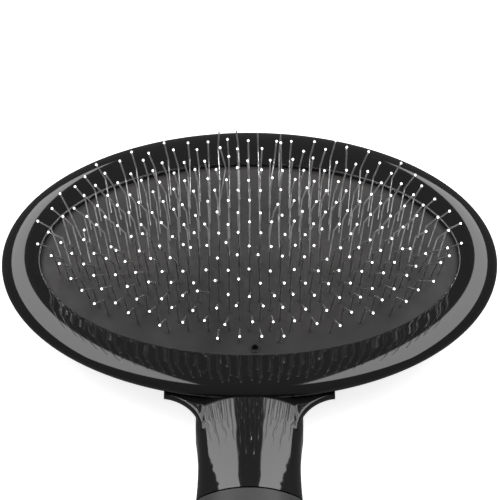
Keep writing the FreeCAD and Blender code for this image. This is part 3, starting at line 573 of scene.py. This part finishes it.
# %% How one pin goes
LOWER_LEG, UPPER_LEG = 8.7 * MM, 11.3 * MM
LOWER_LEAN, UPPER_LEAN = math.radians(1), math.radians(33)
LOWER_FAN, UPPER_FAN = 1.5, 0.85
WIRE_RADIUS, ROOT_DEPTH = 0.15 * MM, 2.35 * MM
BENT_SHARE, BENT_TIMES = 0.05, 4.0
LEAN_SPREAD_DEGREES, KNEE_SPREAD = 1.1, 0.12 * MM
dice = random.Random(7)


def outward(x, y, share=1.0):
    """The direction out of the rubber at x and y, with that share of its slope along the handle."""
    high = RISE / (1 - DOME_CUT)
    wide, long = DOME[0] / DOME_SPREAD, DOME[1] / DOME_SPREAD
    lift = math.sqrt(1 - (x / wide) ** 2 - (y / long) ** 2)
    return Vector((x / wide**2, share * y / long**2, lift / high)).normalized()


def leaned(direction, lean, sway):
    """The direction tipped towards the handle by lean, and sideways by sway."""
    tipped = Matrix.Rotation(lean, 3, "X") @ direction
    return (tipped + Vector((math.tan(sway), 0, 0))).normalized()


def pin_corners(x, y):
    """The pin's root under the laminate, its knee and the middle of its ball."""
    bent = BENT_TIMES if dice.random() < BENT_SHARE else 1.0
    slack = [math.radians(dice.gauss(0, LEAN_SPREAD_DEGREES) * bent) for _ in range(4)]
    foot = Vector((x, y + OPENING_Y, float(dome_height(x, y))))
    lower = leaned(outward(x, y, LOWER_FAN), LOWER_LEAN + slack[0], slack[1])
    upper = leaned(outward(x, y, UPPER_FAN), UPPER_LEAN + slack[2], slack[3])
    root = foot - lower * (ROOT_DEPTH / lower.z)
    knee = foot + lower * (LOWER_LEG + dice.gauss(0, KNEE_SPREAD))
    return root, knee, knee + upper * UPPER_LEG


pins = [[pin_corners(x, y) for x, y in row_places(row)] for row in range(ROWS)]
highest = max(tip.z for row in pins for _, _, tip in row)
print("highest ball at", round(highest / MM, 1), "mm")

# %% [markdown]
# Two neighbouring pins are one staple: a wire pushed up through the laminate and the rubber. A NURBS
# curve draws it well, because it runs straight between three points in line and rounds a corner that
# has a point close to it on each side. The curve's own bevel gives the wire its thickness. The first
# knee of each staple is eased over a longer reach than its other corners.


# %% Bend the staples
def eased(corners, reaches):
    """Control points that go straight and turn each corner within reach of it."""
    points = [corners[0]]
    for before, corner, after, reach in zip(corners, corners[1:], corners[2:], reaches):
        points.append(corner + (before - corner).normalized() * reach)
        points.append(corner)
        points.append(corner + (after - corner).normalized() * reach)
    return points + [corners[-1]]


def staples(row):
    """The corners of each staple of a row, and of the single pin that an odd row ends with."""
    for left, right in zip(row[0::2], row[1::2]):
        yield [left[2], left[1], left[0], right[0], right[1], right[2]]
    if len(row) % 2:
        root, knee, tip = row[-1]
        yield [tip, knee, root, root - Vector((PIN_PITCH / 3, 0, 0))]


KNEE_REACH, CROWN_REACH = 0.9 * MM, 0.5 * MM
for number, row in enumerate(pins, start=1):
    wire = bpy.data.curves.new(f"wire_row_{number:02d}", "CURVE")
    wire.dimensions = "3D"
    wire.bevel_depth = WIRE_RADIUS
    wire.bevel_resolution = 2
    wire.use_fill_caps = True
    wire.resolution_u = 3
    for corners in staples(row):
        reaches = [KNEE_REACH] + [CROWN_REACH] * (len(corners) - 3)
        points = eased(corners, reaches)
        spline = wire.splines.new("NURBS")
        spline.points.add(len(points) - 1)
        for point, place in zip(spline.points, points):
            point.co = (*place, 1)
        spline.order_u = 3
        spline.use_endpoint_u = True
    wire.materials.append(WIRE)
    wires = bpy.data.objects.new(wire.name, wire)
    bpy.context.scene.collection.objects.link(wires)
    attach(wires, "cushion")
    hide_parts(f"pin_row_{number:02d}")
print("rows of wire:", len(pins))

# %% [markdown]
# A ball end is a bead fused onto the wire: nearly round, with a small collar where it runs down onto
# the wire. It is a lathe shape, so one section turned round the wire's direction makes each of them.

# %% Fuse the balls
BALL_RADIUS = 0.27 * MM
BALL_SIDES = 14
COLLAR = [(0.16 * MM, -0.46 * MM), (0.18 * MM, -0.35 * MM)]
ball_section = COLLAR + [(BALL_RADIUS * math.cos(a), BALL_RADIUS * math.sin(a))
                         for a in np.radians(np.linspace(-48, 84, 9))]


def ball_points(tip, direction):
    """The rings of a ball end at tip, turned to the wire's direction."""
    across = direction.orthogonal().normalized()
    other = direction.cross(across)
    rings = []
    for radius, along in ball_section:
        for side in range(BALL_SIDES):
            turn = 2 * math.pi * side / BALL_SIDES
            ring = across * math.cos(turn) * radius + other * math.sin(turn) * radius
            rings.append(tip + ring + direction * along)
    return rings


def ball_faces(first):
    """A ball end's quads and its two end caps, counted from its first point."""
    levels = len(ball_section)
    quads = stack_faces(levels, BALL_SIDES, False)
    top = (levels - 1) * BALL_SIDES
    caps = [tuple(reversed(range(BALL_SIDES))), tuple(range(top, top + BALL_SIDES))]
    return [tuple(first + i for i in face) for face in quads + caps]


for number, row in enumerate(pins, start=1):
    points, faces = [], []
    for _, knee, tip in row:
        faces += ball_faces(len(points))
        points += ball_points(tip, (tip - knee).normalized())
    balls = new_piece(f"fused_balls_{number:02d}", points, faces, BALL, 60)
    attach(balls, "cushion")
    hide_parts(f"ball_row_{number:02d}")
print("rows of balls:", len(pins))

# %% [markdown]
# Thin wire needs a light of its own. A low lamp in front makes the far pins' legs and all the balls
# shine, but the rim would mirror it as a hard streak. Light linking solves that: the lamp lights only
# the objects in its own collection, which holds the balls and the far half's wires. The near wires
# are left out of the collection, so that they stay dark against the rubber.

# %% Light the wires
LAMP_AWAY, LAMP_CLIMB = 0.7, math.radians(8)
LAMP_WIDE, LAMP_HIGH, LAMP_POWER = 0.36, 0.14, 34.0
glint = bpy.data.lights.new("wire_lamp", "AREA")
glint.shape = "RECTANGLE"
glint.size, glint.size_y = LAMP_WIDE, LAMP_HIGH
glint.energy = LAMP_POWER
toward = Vector((0, -math.cos(LAMP_CLIMB), math.sin(LAMP_CLIMB)))
wire_lamp = bpy.data.objects.new("wire_lamp", glint)
wire_lamp.location = Vector((0, OPENING_Y, TOP_Z)) + toward * LAMP_AWAY
wire_lamp.rotation_euler = toward.to_track_quat("Z", "Y").to_euler()
bpy.context.scene.collection.objects.link(wire_lamp)
lit = bpy.data.collections.new("wires_and_balls")
for piece in bpy.context.scene.objects:
    kind, _, number = piece.name.rpartition("_")
    if kind == "fused_balls" or kind == "wire_row" and int(number) > ROWS // 2:
        lit.objects.link(piece)
wire_lamp.light_linking.receiver_collection = lit

# %% [markdown]
# The cushion is one moulding: a shallow dome with a flat flange round it. It is drawn as ovals that
# grow from a point in the middle to the dome's foot, out over the flange, and back underneath. Where
# a wire comes through, the rubber is drawn down into a small dimple with a raised rim, so the
# rings are set close enough together to show it.

# %% Dimples where the wires come through
feet = np.array([(x, y) for row in range(ROWS) for x, y in row_places(row)])
DIMPLE_DEPTH, DIMPLE_REACH = 0.13 * MM, 0.42 * MM
RAISED_SHARE = 0.3


def dimpled(x, y):
    """How far the rubber is drawn down at each of the points."""
    drop = np.zeros_like(x)
    for foot_x, foot_y in feet:
        away = np.hypot(x - foot_x, y - foot_y)
        drop += DIMPLE_DEPTH * np.exp(-((away / DIMPLE_REACH) ** 2))
        drop -= RAISED_SHARE * DIMPLE_DEPTH * np.exp(-(((away - 2 * DIMPLE_REACH) / DIMPLE_REACH) ** 2))
    return drop


print("dimples:", len(feet))

# %% Build the cushion
PAD_COUNT, DOME_LEVELS, UNDER_LEVELS = 480, 104, 10


def dome_ring(share, lower):
    """One oval of the dome, or of its underside where lower is the rubber's thickness."""
    ring = oval(DOME[0] * share, DOME[1] * share, 0, 0, PAD_COUNT)
    ring[:, 2] = dome_height(ring[:, 0], ring[:, 1]) - lower
    if not lower:
        ring[:, 2] -= dimpled(ring[:, 0], ring[:, 1])
    ring[:, 1] += OPENING_Y
    return ring


def cap_faces(level, count, middle, flip):
    """Triangles from a ring to a point in its middle."""
    first = level * count
    fans = [(first + i, first + (i + 1) % count, middle) for i in range(count)]
    return [fan[::-1] for fan in fans] if flip else fans


levels = [dome_ring(share, 0) for share in np.linspace(1 / DOME_LEVELS, 1, DOME_LEVELS)]
levels += [oval(*FLANGE, OPENING_Y, height, PAD_COUNT) for height in (FOOT_Z, pad_low.z)]
levels += [dome_ring(share, RUBBER) for share in np.linspace(1, 0.1, UNDER_LEVELS)]
middles = [(0, OPENING_Y, FOOT_Z + RISE), (0, OPENING_Y, FOOT_Z + RISE - RUBBER)]
pad_points = np.concatenate(levels + [middles])
pad_faces = stack_faces(len(levels), PAD_COUNT, False)
pad_faces += cap_faces(0, PAD_COUNT, len(pad_points) - 2, True)
pad_faces += cap_faces(len(levels) - 1, PAD_COUNT, len(pad_points) - 1, False)
cushion = face_outwards(new_piece("rubber_cushion", pad_points, pad_faces, RUBBER_GREY, 50))
print("cushion:", len(cushion.data.polygons), "faces")

# %% [markdown]
# Near the handle the rubber has a small round air hole with a bead round it. The hole is cut with a
# boolean, because it goes right through. The bead is a torus, bent into a slightly uneven ring.

# %% Cut the air hole and lay its bead
HOLE_RIGHT, HOLE_INSET = 1.1 * MM, 1.4 * MM
HOLE = Vector((HOLE_RIGHT, OPENING_Y - DOME[1] + HOLE_INSET, 0))
HOLE.z = float(dome_height(HOLE.x, HOLE.y - OPENING_Y))
HOLE_RADIUS, BEAD_RADIUS = 0.75 * MM, 0.22 * MM
BEAD_FLATTENED, BEAD_WAVE = 0.75, 0.04 * MM
bpy.ops.mesh.primitive_cylinder_add(vertices=48, radius=HOLE_RADIUS, depth=8 * MM, location=HOLE)
cutter = bpy.context.object
cut = cushion.modifiers.new("air_hole", "BOOLEAN")
cut.object, cut.operation, cut.solver = cutter, "DIFFERENCE", "EXACT"
bpy.context.view_layer.update()
depsgraph = bpy.context.evaluated_depsgraph_get()
settled = bpy.data.meshes.new_from_object(cushion.evaluated_get(depsgraph))
cushion.modifiers.clear()
cushion.data = settled
bpy.data.objects.remove(cutter)

tilt = Vector((0, 0, 1)).rotation_difference(outward(HOLE.x, HOLE.y - OPENING_Y)).to_euler()
bpy.ops.mesh.primitive_torus_add(major_radius=HOLE_RADIUS + BEAD_RADIUS / 2, minor_radius=BEAD_RADIUS,
                                 major_segments=64, minor_segments=20, location=HOLE, rotation=tilt)
bead = bpy.context.object
bead.name = "air_hole_bead"
for vertex in bead.data.vertices:
    turn = math.atan2(vertex.co.y, vertex.co.x)
    vertex.co.z = vertex.co.z * BEAD_FLATTENED + BEAD_WAVE * math.sin(3 * turn + 1)
bead.data.shade_smooth()
bead.data.materials.append(RUBBER_GREY)
print("air hole at", [round(c / MM, 1) for c in HOLE], "faces", len(cushion.data.polygons))

# %% [markdown]
# Pressed, the dome sinks into its air chamber while its flange stays clamped. Here the cushion only
# rides on the brush's body, and the pins, the laminate and the balls ride on the body named cushion.

# %% Put the cushion on the brush's body
for piece in (cushion, bead):
    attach(piece, "brush_body")
    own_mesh(piece)
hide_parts("cushion_pad")

# %% [markdown]
# Under the rubber lies the laminate that the staples are pushed through. It is a shallow woven dish
# with a cut edge, so it is drawn like the cushion, lower and smaller.

# %% Build the laminate
LAMINATE, LAMINATE_GAP = 0.8 * MM, 0.02 * MM
laminate_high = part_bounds("pad_backing")[1]
reach = laminate_high.x / DOME[0]
DISH_COUNT, DISH_LEVELS = 160, 20


def dish_ring(share, lower):
    ring = oval(DOME[0] * share, DOME[1] * share, 0, 0, DISH_COUNT)
    ring[:, 2] = dome_height(ring[:, 0], ring[:, 1]) - RUBBER - lower
    ring[:, 1] += OPENING_Y
    return ring


dish = [dish_ring(reach * share, LAMINATE_GAP) for share in np.linspace(0.05, 1, DISH_LEVELS)]
dish += [dish_ring(reach * share, LAMINATE) for share in np.linspace(1, 0.05, DISH_LEVELS)]
dish_top, dish_floor = FOOT_Z + RISE - RUBBER, FOOT_Z + RISE - RUBBER - LAMINATE
dish_points = np.concatenate(dish + [[(0, OPENING_Y, dish_top), (0, OPENING_Y, dish_floor)]])
dish_faces = stack_faces(len(dish), DISH_COUNT, False)
dish_faces += cap_faces(0, DISH_COUNT, len(dish_points) - 2, True)
dish_faces += cap_faces(len(dish) - 1, DISH_COUNT, len(dish_points) - 1, False)
laminate = face_outwards(new_piece("woven_laminate", dish_points, dish_faces, WEAVE, 40))
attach(laminate, "cushion")
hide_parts("pad_backing")
print("laminate:", len(laminate.data.polygons), "faces")

# %% Update the scene
bpy.context.view_layer.update()
